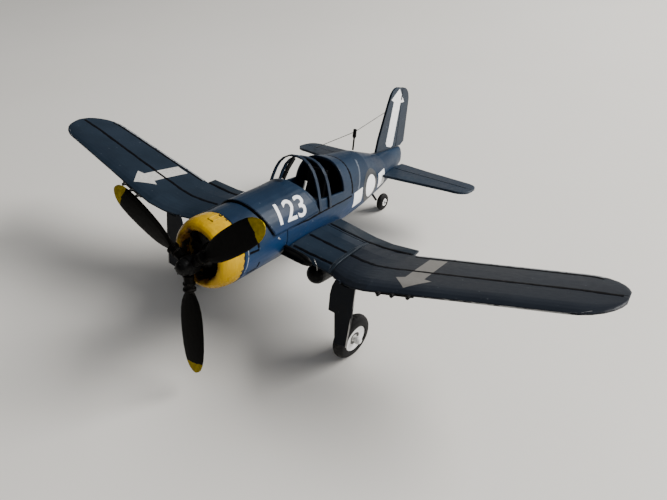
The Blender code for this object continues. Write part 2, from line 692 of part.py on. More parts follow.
def build_main_gear():
    for word, side in SIDES:
        centre = Vector((MAIN_WHEEL.x * side, MAIN_WHEEL.y, MAIN_WHEEL.z))
        hub = new_empty(f"main_axle_{word}", centre, axle_turn(side), AIRFRAME)
        turned(f"main_tyre_{word}", tyre_profile(MAIN_TYRE_RADIUS, MAIN_TYRE_WIDTH / 2, MAIN_DISC_RADIUS),
               "tyre", axis="Z", steps=40, parent=hub)
        disc = [(BORE_RADIUS, 1.5), (MAIN_DISC_RADIUS - GAP, 2.1), (MAIN_DISC_RADIUS - GAP, -2.1),
                (BORE_RADIUS, -1.5)]
        turned(f"wheel_disc_{word}", disc, "white", axis="Z", steps=32, parent=hub)
        pin = [(0.0, 4.6), (1.0, 4.4), (1.6, 3.6), (1.6, 2.8), (SHAFT_RADIUS, 2.35), (SHAFT_RADIUS, -4.6),
               (0.0, -4.6)]
        turned(f"axle_{word}", pin, "white", axis="Z", steps=16, parent=hub)
        build_leg(word, side)
        build_gear_door(word, side)


def build_leg(word, side):
    """The strut stands inboard of the wheel, from the axle's inner end up to the wing."""
    path = [(36.2 * side, 42.5, -5.4), (36.0 * side, 42.6, -16.0), (34.1 * side, 42.7, -27.9)]
    wire(f"gear_leg_{word}", path, 1.1, "black", resolution=2)


def build_gear_door(word, side):
    """A flat door plate in front of the wheel, with a tab that laps up over the wing's nose."""
    outline = [(37.8, -1.9), (39.1, -1.9), (39.5, -2.75), (40.5, -3.05), (43.0, -2.95), (45.4, -2.45),
               (45.6, -13.4), (44.9, -25.6),
               (40.2, -26.2), (38.8, -14.4), (36.3, -14.2), (36.2, -8.0), (36.7, -4.6)]
    outline = [(x * side, z) for x, z in outline]
    flat_plate(f"gear_door_{word}", outline, 0.8, "black", "front", offset=31.4)


def floor_height(y):
    """The airframe z of the floor below a given airframe y."""
    reach = MAIN_TYRE_RADIUS / math.cos(GROUND_PITCH)
    return MAIN_WHEEL.z - reach + (y - MAIN_WHEEL.y) * math.tan(GROUND_PITCH)


def build_tail_wheel():
    height = floor_height(TAIL_WHEEL_Y) + TAIL_TYRE_RADIUS / math.cos(GROUND_PITCH)
    hub = new_empty("tail_axle_centre", (0.0, TAIL_WHEEL_Y, height), Vector((1, 0, 0)).to_track_quat("Z", "Y"),
                    AIRFRAME)
    turned("tail_tyre", tyre_profile(TAIL_TYRE_RADIUS, 1.5, 2.2), "tyre", axis="Z", steps=28, parent=hub)
    turned("tail_wheel_disc", ring_of(2.2 - GAP, 1.3, 0.6), "white", axis="Z", steps=18, parent=hub)
    wire("tail_axle", [(-2.9, TAIL_WHEEL_Y, height), (2.0, TAIL_WHEEL_Y, height)], 0.5, "steel")
    strut = [(0.0, 119.0, 0.9), (-1.8, 121.4, -1.2), (-3.6, 125.0, -5.0), (-3.75, TAIL_WHEEL_Y - 0.2, height)]
    wire("tail_strut", strut, 0.6, "black")


def build_stores():
    """A round-nosed store on a short pylon under each inner wing."""
    for word, side in SIDES:
        nose = arc((0.0, 0.0), 3.9, math.pi / 2, 0.0, 5)
        profile = [(r, z) for r, z in nose] + [(3.9, -9.0), (3.3, -15.0), (1.8, -20.0), (0.0, -22.0)]
        profile[0] = (0.0, 3.9)
        turned(f"store_{word}", profile, "black", steps=18, location=(22.6 * side, 42.6, -9.6))


def stand_on_floor():
    """Moves the tipped airframe so that its lowest tyre touches Z = 0, centred on X and Y."""
    graph = bpy.context.evaluated_depsgraph_get()
    corners = []
    for part in PARTS.objects:
        if part.type != "EMPTY":
            solid = part.evaluated_get(graph)
            mesh = solid.to_mesh()
            corners += [solid.matrix_world @ vertex.co for vertex in mesh.vertices]
            solid.to_mesh_clear()
    low = [min(corner[i] for corner in corners) for i in range(3)]
    high = [max(corner[i] for corner in corners) for i in range(3)]
    AIRFRAME.location = (-(low[0] + high[0]) / 2, -(low[1] + high[1]) / 2, -low[2])


def main():
    cutter = fuselage_clearance()
    build_fuselage()
    build_top_panel()
    build_cowl_ring()
    build_engine()
    build_propeller()
    build_cockpit()
    build_canopy()
    build_wings(cutter)
    build_tail(cutter)
    build_antenna()
    build_main_gear()
    build_tail_wheel()
    build_stores()
    stand_on_floor()


clear_scene()
PARTS = new_collection("propeller_plane_model")
CUTTERS = new_collection("cutters")
MATERIALS = {name: make_material(name) for name in COLOURS}
AIRFRAME = new_empty("airframe")
AIRFRAME.rotation_euler = (-GROUND_PITCH, 0.0, 0.0)
main()
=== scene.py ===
"""The looks of a tinplate display model of a gull-winged naval fighter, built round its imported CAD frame.

The solid parts come from the frame and keep their shapes. This script gives them hand-brushed enamel,
worn edges and rubber, and adds what lies on top of them: soldered seams, decals, dials and wires.
Shapes on the airframe are drawn in its own millimetres: +X to the pilot's left, +Y aft along the
propeller shaft, +Z up, from the centre of the propeller hub. PLANE turns them into world metres.
"""

import json
import math
import random

import bmesh
import bpy
from mathutils import Matrix, Vector
from mathutils.bvhtree import BVHTree


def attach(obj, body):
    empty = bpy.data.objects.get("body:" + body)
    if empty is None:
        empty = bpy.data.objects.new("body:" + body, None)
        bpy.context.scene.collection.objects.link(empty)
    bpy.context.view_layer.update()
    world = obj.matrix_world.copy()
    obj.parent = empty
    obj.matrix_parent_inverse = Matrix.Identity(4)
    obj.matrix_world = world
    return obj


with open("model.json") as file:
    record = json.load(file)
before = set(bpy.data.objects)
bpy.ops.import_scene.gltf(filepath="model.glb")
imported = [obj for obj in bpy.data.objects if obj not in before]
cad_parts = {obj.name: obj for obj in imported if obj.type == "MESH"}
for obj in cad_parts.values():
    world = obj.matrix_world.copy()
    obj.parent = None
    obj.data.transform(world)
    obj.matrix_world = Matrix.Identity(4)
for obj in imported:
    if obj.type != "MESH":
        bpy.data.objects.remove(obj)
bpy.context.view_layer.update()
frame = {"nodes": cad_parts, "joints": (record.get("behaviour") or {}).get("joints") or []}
JOINTS = {joint["name"]: joint for joint in frame["joints"]}
SHAKE = random.Random(11)

MM = 0.001
FAR = 90.0                  # where the rays that find the skin start, mm
SIDES = (("left", 1), ("right", -1))

BLADE_TIP_STARTS = ((1, 0.0337), (2, 0.0353), (3, 0.0369))      # blade, metres from the shaft
MAIN_BLACK_RING = (0.0013, 0.0024)      # inner and outer radius of the ring on a wheel disc, metres
TAIL_BLACK_RING = (0.0009, 0.0011)
MAIN_TREAD = (0.0079, 0.0088)           # where the dust on a tyre starts and is thickest, metres
TAIL_TREAD = (0.0037, 0.0043)

CAMERA_PLACE = (0.12008, -0.14832, 0.1535)
CAMERA_AZIMUTH = math.radians(37.13)
CAMERA_ELEVATION = math.radians(-37.27)
CAMERA_ROLL = math.radians(-3.82)
CAMERA_LENS = 29.17

FUSELAGE_CENTRE_Z = 3.5     # the centre that the round rays aim at
FUSELAGE_RADIUS = 13.2      # turns an arc length on the fuselage into an angle
RING_RISE = 0.00195         # the cowl ring's centre above the propeller's axis, metres
COAT = 0.05                 # how far a decal stands off the skin
SEAM_WIDTH = 1.45
SEAM_RISE = 0.07
SEAM_PROFILE = ((0.0, 0.35), (0.25, 0.85), (0.5, 1.0), (0.75, 0.85), (1.0, 0.35))       # across, height
SEAM_FOOT = 0.12            # how far a seam's edges and its middle reach into the skin
SEAM_KEEL = 0.3
SEAM_STRETCH = 2.5          # a seam breaks where the skin under it is this many times its width
SHARP_ANGLE = math.radians(40.0)
NUMBER = "123"


def airframe_matrix():
    """Airframe millimetres to world metres, from the propeller shaft's place and direction."""
    spin = JOINTS["propeller_spin"]
    aft = Vector(spin["axis"]).normalized()
    left = Vector((1.0, 0.0, 0.0))
    turn = Matrix((left, aft, left.cross(aft))).transposed().to_4x4()
    return Matrix.Translation(spin["pos_m"]) @ turn @ Matrix.Scale(MM, 4)


PLANE = airframe_matrix()
TO_PLANE = PLANE.inverted()
PLANE_UP = (PLANE.to_3x3() @ Vector((0.0, 0.0, 1.0))).normalized()
PLANE_AFT = Vector(JOINTS["propeller_spin"]["axis"]).normalized()


# --- materials ----------------------------------------------------------------------------------
class Paint:
    """A material under construction, with short names for the shader nodes that the paints share."""

    def __init__(self, name, roughness=0.4, **sockets):
        self.material = bpy.data.materials.new(name)
        self.material.use_nodes = True
        self.tree = self.material.node_tree
        self.shader = self.tree.nodes["Principled BSDF"]
        self.place = self.add("ShaderNodeTexCoord").outputs["Object"]
        self.shader.inputs["Roughness"].default_value = roughness
        for socket, value in sockets.items():
            self.shader.inputs[socket.replace("_", " ")].default_value = value

    def add(self, kind, **settings):
        node = self.tree.nodes.new(kind)
        for key, value in settings.items():
            setattr(node, key, value)
        return node

    def feed(self, source, socket):
        if isinstance(source, bpy.types.NodeSocket):
            self.tree.links.new(source, socket)
        else:
            socket.default_value = source

    def stretched(self, scale):
        mapping = self.add("ShaderNodeMapping")
        self.feed(self.place, mapping.inputs["Vector"])
        mapping.inputs["Scale"].default_value = scale
        return mapping.outputs["Vector"]

    def noise(self, per_metre, detail=3.0, stretch=None, rough=0.55):
        node = self.add("ShaderNodeTexNoise")
        self.feed(self.stretched(stretch) if stretch else self.place, node.inputs["Vector"])
        node.inputs["Scale"].default_value = per_metre
        node.inputs["Detail"].default_value = detail
        node.inputs["Roughness"].default_value = rough
        return node.outputs["Fac"]

    def span(self, value, low, high, to_low=0.0, to_high=1.0):
        node = self.add("ShaderNodeMapRange")
        for socket, given in zip(node.inputs, (value, low, high, to_low, to_high)):
            self.feed(given, socket)
        return node.outputs["Result"]

    def math(self, operation, first, second):
        node = self.add("ShaderNodeMath", operation=operation, use_clamp=operation != "SUBTRACT")
        self.feed(first, node.inputs[0])
        self.feed(second, node.inputs[1])
        return node.outputs[0]

    def vector(self, operation, first, second):
        node = self.add("ShaderNodeVectorMath", operation=operation)
        self.feed(first, node.inputs[0])
        self.feed(second, node.inputs[1])
        return node.outputs["Value" if operation in ("DOT_PRODUCT", "LENGTH") else "Vector"]

    def mix(self, factor, first, second):
        node = self.add("ShaderNodeMix", data_type="RGBA")
        self.feed(factor, node.inputs["Factor"])
        for socket, colour in zip((node.inputs[6], node.inputs[7]), (first, second)):
            self.feed((*colour, 1.0) if isinstance(colour, tuple) else colour, socket)
        return node.outputs[2]

    def along(self, origin, direction):
        """Distance in metres along a direction from a point."""
        offset = self.vector("SUBTRACT", self.place, tuple(origin))
        return self.vector("DOT_PRODUCT", offset, tuple(direction))

    def from_axis(self, joint, shift=Vector()):
        """Distance in metres from a joint's axis, or from a parallel line shifted from it."""
        offset = self.vector("SUBTRACT", self.place, tuple(Vector(joint["pos_m"]) + shift))
        beside = self.vector("CROSS_PRODUCT", offset, tuple(Vector(joint["axis"]).normalized()))
        return self.vector("LENGTH", beside, (0.0, 0.0, 0.0))

    def soft_normal(self, radius):
        node = self.add("ShaderNodeBevel", samples=6)
        node.inputs["Radius"].default_value = radius
        return node.outputs["Normal"]

    def edges(self, radius, low=0.06, high=0.22):
        """1 on sharp edges of the solid and 0 on its faces."""
        flat = self.add("ShaderNodeNewGeometry").outputs["Normal"]
        agreement = self.vector("DOT_PRODUCT", self.soft_normal(radius), flat)
        return self.span(agreement, 1.0 - low, 1.0 - high)

    def finish(self, colour, roughness=None, height=None, depth=0.00004, round_edge=0.0004):
        self.feed(colour, self.shader.inputs["Base Color"])
        if roughness is not None:
            self.feed(roughness, self.shader.inputs["Roughness"])
        normal = self.soft_normal(round_edge) if round_edge else None
        if height is not None:
            bump = self.add("ShaderNodeBump")
            bump.inputs["Strength"].default_value = 0.6
            bump.inputs["Distance"].default_value = depth
            self.feed(height, bump.inputs["Height"])
            if normal:
                self.feed(normal, bump.inputs["Normal"])
            normal = bump.outputs["Normal"]
        if normal:
            self.feed(normal, self.shader.inputs["Normal"])
        return self.material


def brushed_enamel(name, dark, light, worn, sheen=(0.3, 0.52), wear=0.5, stroke=(1.0, 0.25, 1.0),
                   edge=0.00035, round_edge=0.0004, low_colour=None, specular=0.22, marks_share=0.15,
                   depth=0.00004):
    """Hand-brushed enamel on tin: cloudy colour, brush marks, small chips and rubbed edges."""
    paint = Paint(name, Specular_IOR_Level=specular)
    cloud = paint.noise(70.0, detail=4.0)
    marks = paint.noise(900.0, detail=4.0, stretch=stroke)
    grain = paint.noise(2600.0, detail=2.0)
    colour = paint.mix(paint.span(cloud, 0.35, 0.68), dark, light)
    if low_colour:
        height = paint.along(JOINTS["propeller_spin"]["pos_m"], PLANE_UP)
        ragged = paint.math("ADD", height, paint.span(cloud, 0.3, 0.7, -0.004, 0.004))
        colour = paint.mix(paint.span(ragged, 0.011, -0.004), colour, low_colour)
    shade = paint.span(marks, 0.3, 0.75, 0.0, marks_share)
    colour = paint.mix(shade, colour, light)
    rubbed = paint.math("MULTIPLY", paint.edges(edge), paint.span(paint.noise(420.0, detail=5.0), 0.46, 0.62))
    colour = paint.mix(paint.math("MULTIPLY", rubbed, wear), colour, worn)
    specks = paint.span(paint.noise(900.0, detail=2.0, rough=0.3), 0.755, 0.78)
    colour = paint.mix(paint.math("MULTIPLY", specks, 0.35), colour, worn)
    height = paint.math("ADD", paint.math("MULTIPLY", marks, 0.7), paint.math("MULTIPLY", grain, 0.3))
    roughness = paint.span(paint.math("ADD", paint.math("MULTIPLY", cloud, 0.5),
                                      paint.math("MULTIPLY", marks, 0.5)), 0.3, 0.7, *sheen)
    return paint.finish(colour, roughness, height, depth, round_edge)


def ring_yellow():
    """Glossy yellow enamel on the cowl ring, brown and then black towards the opening at the lip, with a
    ragged dark band at the back rim that is partly painted shadow where the ring meets the cowling and partly
    chipped paint.
    """
    paint = Paint("ring_yellow", Specular_IOR_Level=0.15)
    marks = paint.noise(520.0, detail=5.0, stretch=(1.0, 1.0, 0.18))
    cloud = paint.noise(130.0, detail=3.0)
    colour = paint.mix(paint.span(marks, 0.34, 0.68), (0.42, 0.238, 0.0), (0.52, 0.31, 0.0))
    colour = paint.mix(paint.span(cloud, 0.55, 0.75, 0.0, 0.5), colour, (0.3, 0.13, 0.0))
    reach = paint.from_axis(JOINTS["propeller_spin"], PLANE_UP * RING_RISE)
    ragged = paint.math("ADD", reach, paint.span(paint.noise(380.0, detail=4.0), 0.3, 0.7, -0.0009, 0.0009))
    colour = paint.mix(paint.span(ragged, 0.0099, 0.0088), colour, (0.2, 0.085, 0.004))
    colour = paint.mix(paint.span(ragged, 0.0087, 0.0083), colour, (0.015, 0.013, 0.01))
    # The dark band at the back rim: partly painted shadow where the ring meets the cowling, partly chipped
    # paint.
    aft = paint.along(JOINTS["propeller_spin"]["pos_m"], PLANE_AFT)
    back = paint.math("ADD", aft, paint.span(paint.noise(560.0, detail=4.0), 0.35, 0.68, -0.0012, 0.0009))
    colour = paint.mix(paint.span(back, 0.0136, 0.0139), colour, (0.03, 0.025, 0.015))
    rubbed = paint.math("MULTIPLY", paint.edges(0.0004), paint.span(paint.noise(500.0), 0.5, 0.62))
    colour = paint.mix(paint.math("MULTIPLY", rubbed, 0.6), colour, (0.3, 0.17, 0.02))
    return paint.finish(colour, paint.span(marks, 0.3, 0.7, 0.16, 0.36), marks, 0.00006, 0.0009)


def blade_black(number, tip_start):
    """Black propeller enamel with a yellow tip and edges rubbed to a lighter grey."""
    paint = Paint(f"blade_black_{number}", Specular_IOR_Level=0.04)
    marks = paint.noise(700.0, detail=4.0)
    colour = paint.mix(paint.span(marks, 0.35, 0.7), (0.0012, 0.001, 0.0008), (0.0035, 0.003, 0.0025))
    rubbed = paint.math("MULTIPLY", paint.edges(0.0003),
                        paint.span(paint.noise(300.0, detail=5.0), 0.42, 0.6))
    colour = paint.mix(paint.math("MULTIPLY", rubbed, 0.55), colour, (0.11, 0.1, 0.09))
    reach = paint.from_axis(JOINTS["propeller_spin"])
    ragged = paint.math("ADD", reach, paint.span(paint.noise(260.0, detail=3.0), 0.3, 0.7, -0.0005, 0.0005))
    yellow = paint.mix(paint.span(marks, 0.35, 0.7), (0.22, 0.165, 0.0), (0.42, 0.3, 0.0))
    colour = paint.mix(paint.span(ragged, tip_start, tip_start + 0.0002), colour, yellow)
    return paint.finish(colour, paint.span(marks, 0.3, 0.7, 0.28, 0.5), marks, 0.00005, 0.00025)


def wheel_white(name, joint, ring_low, ring_high):
    """White wheel enamel with a black ring painted between two radii."""
    paint = Paint(name, Specular_IOR_Level=0.4)
    marks = paint.noise(700.0, detail=4.0)
    reach = paint.math("ADD", paint.from_axis(joint),
                       paint.span(paint.noise(500.0), 0.3, 0.7, -0.0002, 0.0002))
    colour = paint.mix(paint.span(marks, 0.35, 0.7), (0.86, 0.86, 0.84), (0.97, 0.97, 0.95))
    inner = paint.span(reach, ring_low, ring_low + 0.00008)
    outer = paint.span(reach, ring_high + 0.00008, ring_high)
    colour = paint.mix(paint.math("MULTIPLY", inner, outer), colour, (0.02, 0.02, 0.02))
    grime = paint.math("MULTIPLY", paint.span(paint.noise(240.0, detail=5.0), 0.56, 0.72), 0.2)
    colour = paint.mix(grime, colour, (0.35, 0.33, 0.29))
    return paint.finish(colour, paint.span(marks, 0.3, 0.7, 0.3, 0.5), marks, 0.00004, 0.0003)


def tyre_rubber(name, joint, rim_low, rim_high):
    """Dark grey rubber paint, dusty, lighter where the tread has rubbed."""
    paint = Paint(name, roughness=0.7, Specular_IOR_Level=0.15)
    marks = paint.noise(900.0, detail=5.0)
    colour = paint.mix(paint.span(marks, 0.35, 0.7), (0.004, 0.004, 0.0045), (0.012, 0.012, 0.0125))
    reach = paint.from_axis(joint)
    dust = paint.math("MULTIPLY", paint.span(reach, rim_low, rim_high), paint.span(marks, 0.4, 0.62))
    colour = paint.mix(paint.math("MULTIPLY", dust, 0.3), colour, (0.12, 0.115, 0.11))
    return paint.finish(colour, paint.span(marks, 0.3, 0.7, 0.5, 0.78), marks, 0.00008, 0.0005)


def bare_metal(name, dark, light, roughness=(0.25, 0.5)):
    paint = Paint(name, Metallic=0.9)
    marks = paint.noise(1200.0, detail=4.0, stretch=(1.0, 1.0, 0.2))
    colour = paint.mix(paint.span(marks, 0.35, 0.7), dark, light)
    return paint.finish(colour, paint.span(marks, 0.3, 0.7, *roughness), marks, 0.00003, 0.0002)


def decal_paint(name, dark, light, under, chips=0.7):
    """A thin printed or painted mark through which the enamel shows in small chips."""
    paint = Paint(name, Coat_Weight=0.1, Coat_Roughness=0.3)
    marks = paint.noise(800.0, detail=4.0)
    colour = paint.mix(paint.span(marks, 0.35, 0.7), dark, light)
    chipped = paint.span(paint.noise(420.0, detail=6.0, rough=0.7), chips, chips + 0.03)
    colour = paint.mix(chipped, colour, under)
    return paint.finish(colour, paint.span(marks, 0.3, 0.7, 0.35, 0.55), marks, 0.00003, 0.0)


def seam_black():
    """The thick black line that fills the joints between the tin sheets."""
    paint = Paint("seam_black", Specular_IOR_Level=0.03)
    marks = paint.noise(1000.0, detail=4.0)
    colour = paint.mix(paint.span(marks, 0.35, 0.7), (0.001, 0.001, 0.0015), (0.004, 0.004, 0.005))
    return paint.finish(colour, paint.span(marks, 0.3, 0.7, 0.3, 0.55), marks, 0.00005, 0.0)


def floor_white():
    """A white laminate table top with a faint warm cast."""
    paint = Paint("floor_white")
    cloud = paint.noise(4.0, detail=3.0)
    fine = paint.noise(300.0, detail=3.0)
    colour = paint.mix(paint.span(cloud, 0.3, 0.7), (0.77, 0.745, 0.69), (0.81, 0.785, 0.735))
    return paint.finish(colour, paint.span(fine, 0.3, 0.7, 0.42, 0.55), fine, 0.00002, 0.0)


NAVY = brushed_enamel("navy_enamel", (0.003, 0.012, 0.03), (0.006, 0.02, 0.044), (0.11, 0.14, 0.18),
                      low_colour=(0.002, 0.03, 0.105), round_edge=0.0012)
NAVY_SHEET = brushed_enamel("navy_sheet", (0.003, 0.01, 0.022), (0.006, 0.017, 0.033), (0.15, 0.18, 0.22),
                            wear=0.6, round_edge=0.00035)
NAVY_HOOP = brushed_enamel("navy_hoop", (0.003, 0.008, 0.018), (0.012, 0.026, 0.05), (0.006, 0.006, 0.008),
                           wear=0.9, edge=0.0003, round_edge=0.00025)
# A greyer copy of the wing enamel for the port outer wing: the grey is painted sheen.
SLATE_PAINTED_SHEEN = brushed_enamel("slate_painted_sheen", (0.005, 0.008, 0.014), (0.009, 0.013, 0.02), (0.15, 0.16, 0.17),
                       sheen=(0.36, 0.5), stroke=(0.5, 1.0, 1.0), round_edge=0.0008, marks_share=0.1,
                       depth=0.000015)
SLATE_BLUE = brushed_enamel("slate_blue", (0.005, 0.011, 0.02), (0.009, 0.017, 0.029), (0.15, 0.17, 0.19),
                            sheen=(0.36, 0.5), stroke=(0.5, 1.0, 1.0), round_edge=0.0008, marks_share=0.1,
                            depth=0.000015)
# A lighter copy of the wing enamel, with lighter rubbed edges, for the fold strips and flaps: painted
# highlight on the raised strips and flap edges.
SLATE_PAINTED_HIGHLIGHT = brushed_enamel("slate_painted_highlight", (0.007, 0.012, 0.019), (0.012, 0.019, 0.027), (0.2, 0.22, 0.23),
                             sheen=(0.36, 0.5), stroke=(0.5, 1.0, 1.0), marks_share=0.1, depth=0.00002)
BLUE_BLACK = brushed_enamel("blue_black", (0.0008, 0.002, 0.005), (0.0018, 0.004, 0.009), (0.08, 0.09, 0.1),
                            wear=0.4, specular=0.12)
BLACK = brushed_enamel("black_enamel", (0.001, 0.001, 0.001), (0.003, 0.003, 0.003), (0.08, 0.075, 0.07),
                       wear=0.4, specular=0.12)
COCKPIT_BLACK = brushed_enamel("cockpit_black", (0.002, 0.002, 0.003), (0.006, 0.006, 0.007),
                               (0.04, 0.04, 0.04), sheen=(0.5, 0.7), wear=0.3, specular=0.2)
ENGINE_GREY = brushed_enamel("engine_grey", (0.004, 0.004, 0.004), (0.014, 0.013, 0.012), (0.09, 0.08, 0.07),
                             wear=0.7, specular=0.3)
WHITE = brushed_enamel("white_enamel", (0.78, 0.78, 0.76), (0.9, 0.9, 0.88), (0.4, 0.38, 0.35), wear=0.3)
STICK_GREY = brushed_enamel("stick_grey", (0.5, 0.49, 0.46), (0.68, 0.66, 0.62), (0.25, 0.24, 0.22))
YELLOW_RING = ring_yellow()
BLADES = [blade_black(number, start) for number, start in BLADE_TIP_STARTS]
TIN = bare_metal("bare_tin", (0.3, 0.3, 0.3), (0.52, 0.51, 0.5))
WIRE = bare_metal("antenna_wire", (0.05, 0.05, 0.05), (0.16, 0.155, 0.15))
SEAM = seam_black()
MARK_WHITE = decal_paint("mark_white", (0.78, 0.79, 0.8), (0.88, 0.89, 0.9), (0.02, 0.04, 0.08))
# The wing arrows are one pale paint in two copies: the lighter one on the starboard wing is painted light,
# the darker one on the port wing is painted shade.
ARROW_PAINTED_LIGHT = decal_paint("arrow_painted_light", (0.42, 0.41, 0.385), (0.52, 0.51, 0.48), (0.05, 0.05, 0.055), 0.66)
ARROW_PAINTED_SHADE = decal_paint("arrow_painted_shade", (0.13, 0.122, 0.11), (0.19, 0.182, 0.165), (0.05, 0.05, 0.055), 0.66)
MARK_DARK = decal_paint("mark_dark", (0.006, 0.009, 0.013), (0.014, 0.018, 0.024), (0.02, 0.04, 0.08))
# Pale paint for thin lines: rubbed paint at the trailing edges and top panel corners, and a painted highlight
# behind the cowl ring.
WEAR_AND_HIGHLIGHT_LINE = decal_paint("wear_and_highlight_line", (0.2, 0.22, 0.24), (0.36, 0.37, 0.38), (0.02, 0.03, 0.05), 0.56)
WORN_STEEL = bare_metal("worn_steel", (0.12, 0.12, 0.12), (0.3, 0.3, 0.29))
# A bright line standing in for the light caught by the lower lip of the outer wings' leading edges: painted
# highlight.
LIP_HIGHLIGHT = decal_paint("lip_painted_highlight", (0.3, 0.3, 0.3), (0.5, 0.5, 0.49), (0.03, 0.035, 0.045), 0.66)
PALE_BAND = decal_paint("pale_band", (0.04, 0.055, 0.08), (0.07, 0.09, 0.12), (0.02, 0.04, 0.08), 0.62)
MAIN_WHITE = {side: wheel_white(f"wheel_white_{side}", JOINTS[f"{side}_wheel_roll"], *MAIN_BLACK_RING)
              for side, _ in SIDES}
MAIN_RUBBER = {side: tyre_rubber(f"tyre_rubber_{side}", JOINTS[f"{side}_wheel_roll"], *MAIN_TREAD)
               for side, _ in SIDES}
TAIL_WHITE = wheel_white("tail_wheel_white", JOINTS["tail_wheel_roll"], *TAIL_BLACK_RING)
TAIL_RUBBER = tyre_rubber("tail_tyre_rubber", JOINTS["tail_wheel_roll"], *TAIL_TREAD)

# Node name, or the start of several nodes' names, and its paint. The first match counts
NODE_PAINTS = (
    ("cowl_ring", YELLOW_RING), ("cowling", NAVY), ("top_panel", NAVY), ("fuselage_shell", NAVY),
    ("windshield_hoop", NAVY_HOOP), ("canopy_hoop", NAVY_HOOP), ("windshield_post", BLACK),
    ("cockpit_floor", COCKPIT_BLACK), ("instrument_panel", COCKPIT_BLACK), ("pilot_seat", COCKPIT_BLACK),
    ("firewall", COCKPIT_BLACK), ("control_stick", STICK_GREY), ("engine", ENGINE_GREY),
    ("propeller_shaft", TIN), ("propeller_hub", BLACK), ("blade_1", BLADES[0]),
    ("blade_2", BLADES[1]), ("blade_3", BLADES[2]),
    # The fold strips and flaps get the lighter copy of the wing enamel: painted highlight.
    ("wing_intake", BLACK), ("wing_fold_strip", SLATE_PAINTED_HIGHLIGHT), ("wing_inner", SLATE_BLUE),
    # The port outer wing gets the greyer copy of the wing enamel: painted sheen.
    ("wing_outer_front_right", SLATE_BLUE), ("wing_outer_rear_right", SLATE_BLUE), ("wing", SLATE_PAINTED_SHEEN),
    ("flap", SLATE_PAINTED_HIGHLIGHT),
    ("gun_bar", BLACK), ("store", BLACK), ("gear_door", BLUE_BLACK), ("gear_leg", BLACK),
    ("axle", WHITE), ("tail_axle", TIN), ("tail_strut", BLUE_BLACK), ("tail_wheel_disc", TAIL_WHITE),
    ("tail_tyre", TAIL_RUBBER), ("stabilizer", NAVY_SHEET), ("elevator", NAVY_SHEET), ("fin", NAVY_SHEET),
    ("rudder", NAVY_SHEET), ("antenna_wire", WIRE), ("antenna_mast", BLACK),
    ("main_tyre_left", MAIN_RUBBER["left"]), ("main_tyre_right", MAIN_RUBBER["right"]),
    ("wheel_disc_left", MAIN_WHITE["left"]), ("wheel_disc_right", MAIN_WHITE["right"]),
)


def paint_nodes():
    for name, node in frame["nodes"].items():
        paint = next(paint for start, paint in NODE_PAINTS if name.startswith(start))
        for slot in node.material_slots:
            slot.material = paint


# --- finding the skin ---------------------------------------------------------------------------
def skin(*names):
    """The faces of some CAD nodes as one search tree, in airframe millimetres."""
    spots, faces = [], []
    for name in names:
        mesh = frame["nodes"][name].data
        first = len(spots)
        spots += [TO_PLANE @ vertex.co for vertex in mesh.vertices]
        faces += [[first + i for i in face.vertices] for face in mesh.polygons]
    return BVHTree.FromPolygons(spots, faces)


def from_above(u, v):
    """A ray down on to plan point (x, y)."""
    return Vector((u, v, FAR)), Vector((0.0, 0.0, -1.0))


def from_ahead(u, v):
    """A ray aft on to front view point (x, z)."""
    return Vector((u, -FAR, v)), Vector((0.0, 1.0, 0.0))


def from_side(side):
    """Rays in from one side on to side view point (y, z)."""
    return lambda u, v: (Vector((side * FAR, u, v)), Vector((-side, 0.0, 0.0)))


def from_round(side):
    """Rays in towards the fuselage's centre line at length u and arc length v above the horizontal."""
    def ray(u, v):
        angle = v / FUSELAGE_RADIUS
        out = Vector((side * math.cos(angle), 0.0, math.sin(angle)))
        return Vector((0.0, u, FUSELAGE_CENTRE_Z)) + out * FAR, -out
    return ray


def touch(tree, ray, u, v):
    """The skin point under (u, v) and the way out of the skin there, or None."""
    start, way = ray(u, v)
    spot = tree.ray_cast(start, way)[0]
    return (spot, -way) if spot else None


def first_hit(tree, ray_at, start, stop, step=0.1):
    """The first value from start to stop at which ray_at(value) meets the tree, or None."""
    count = int(abs(stop - start) / step)
    for i in range(count + 1):
        value = start + (stop - start) * i / count
        if tree.ray_cast(*ray_at(value))[0]:
            return value
    return None


# --- pieces -------------------------------------------------------------------------------------
def add_piece(name, bm, paint, body="airframe"):
    """Turns a mesh in airframe millimetres into a piece that rides on a body."""
    bmesh.ops.recalc_face_normals(bm, faces=bm.faces)
    bmesh.ops.transform(bm, matrix=PLANE, verts=bm.verts)
    mesh = bpy.data.meshes.new(name)
    bm.to_mesh(mesh)
    bm.free()
    mesh.shade_smooth()
    mesh.set_sharp_from_angle(angle=SHARP_ANGLE)
    mesh.materials.append(paint)
    piece = bpy.data.objects.new(name, mesh)
    bpy.context.scene.collection.objects.link(piece)
    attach(piece, body)


def flat_outline(points):
    flat = bmesh.new()
    flat.faces.new([flat.verts.new((u, v, 0.0)) for u, v in points])
    return flat


def cut_into_cells(flat, cell=0.6):
    """Slices a flat shape into small cells, so that it can follow a curved skin."""
    for axis in (0, 1):
        values = [vertex.co[axis] for vertex in flat.verts]
        for k in range(math.ceil(min(values) / cell), math.floor(max(values) / cell) + 1):
            spot, normal = Vector(), Vector()
            spot[axis] = k * cell
            normal[axis] = 1.0
            bmesh.ops.bisect_plane(flat, geom=flat.verts[:] + flat.edges[:] + flat.faces[:],
                                   plane_co=spot, plane_no=normal)


